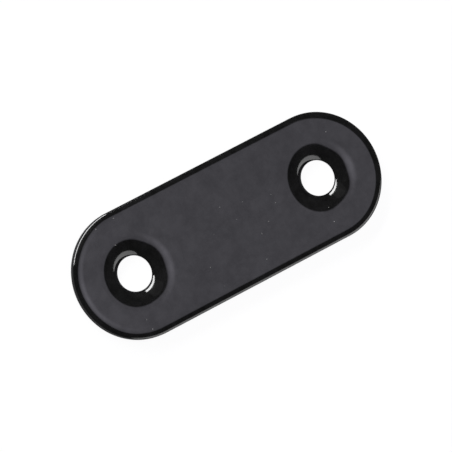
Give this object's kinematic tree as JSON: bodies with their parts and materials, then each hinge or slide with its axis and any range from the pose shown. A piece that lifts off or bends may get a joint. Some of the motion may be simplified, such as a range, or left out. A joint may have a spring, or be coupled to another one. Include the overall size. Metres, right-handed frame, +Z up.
{
  "type": "joining plate",
  "caption": "Small flat black steel joining plate with full round ends, a softly rolled upper edge and a countersunk screw hole near each end.",
  "frame": {"origin": "middle of the underside, on the face that lies against the joined pieces", "axes": "+X along the plate's length through both screw holes, +Y across its width, +Z up out of the countersunk face"},
  "size_m": [0.04, 0.015, 0.0012],
  "materials": {
    "black_enamel": "smooth black enamel on pressed steel, between satin and gloss"
  },
  "bodies": {
    "root": {"joining_plate": "black_enamel"}
  },
  "joints": []
}
